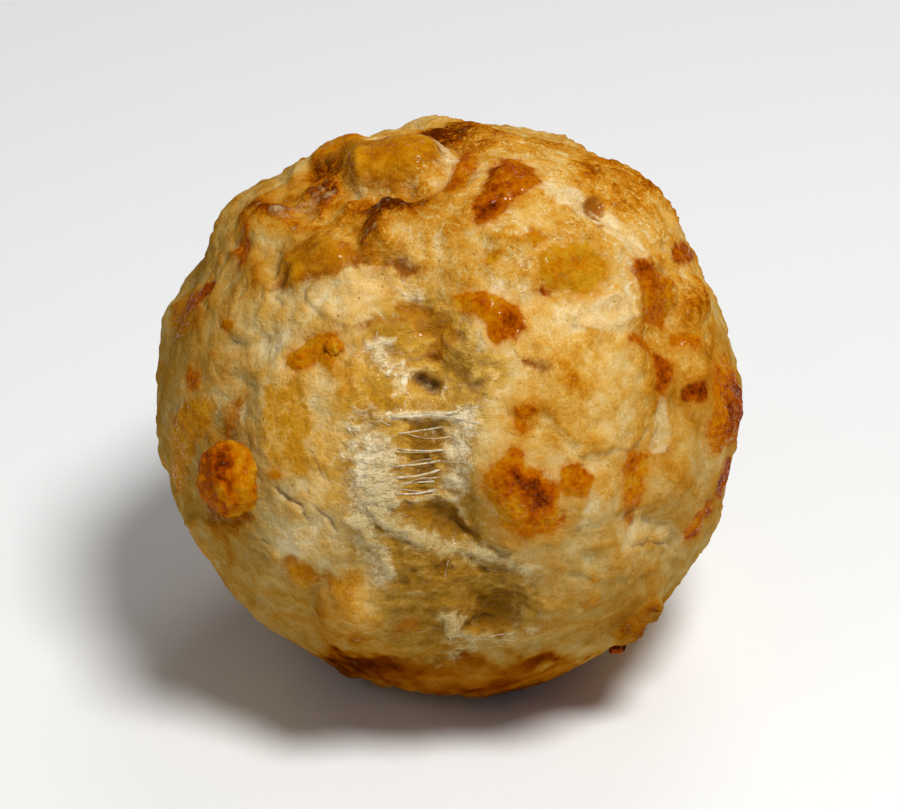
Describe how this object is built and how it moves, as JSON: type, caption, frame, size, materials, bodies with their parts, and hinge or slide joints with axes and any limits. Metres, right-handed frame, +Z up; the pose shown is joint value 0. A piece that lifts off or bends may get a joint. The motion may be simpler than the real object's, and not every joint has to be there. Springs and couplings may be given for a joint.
{
  "type": "baked cheese bread ball",
  "caption": "Round baked cheese bread ball with a wrinkled browned crust, melted cheese spots and a stringy tear, on a small flat foot.",
  "frame": {"origin": "bottom centre of the bounding box, on the surface that the ball stands on", "axes": "+X along the ball's widest extent, +Z up along its shortest extent, and the side with the tear in the crust faces -Y"},
  "size_m": [0.0558, 0.0548, 0.0535],
  "materials": {
    "baked_crust": "baked tapioca dough: cream to golden brown, satin, with glossy browned cheese spots"
  },
  "bodies": {
    "root": {"cheese_ball": "baked_crust"}
  },
  "joints": []
}
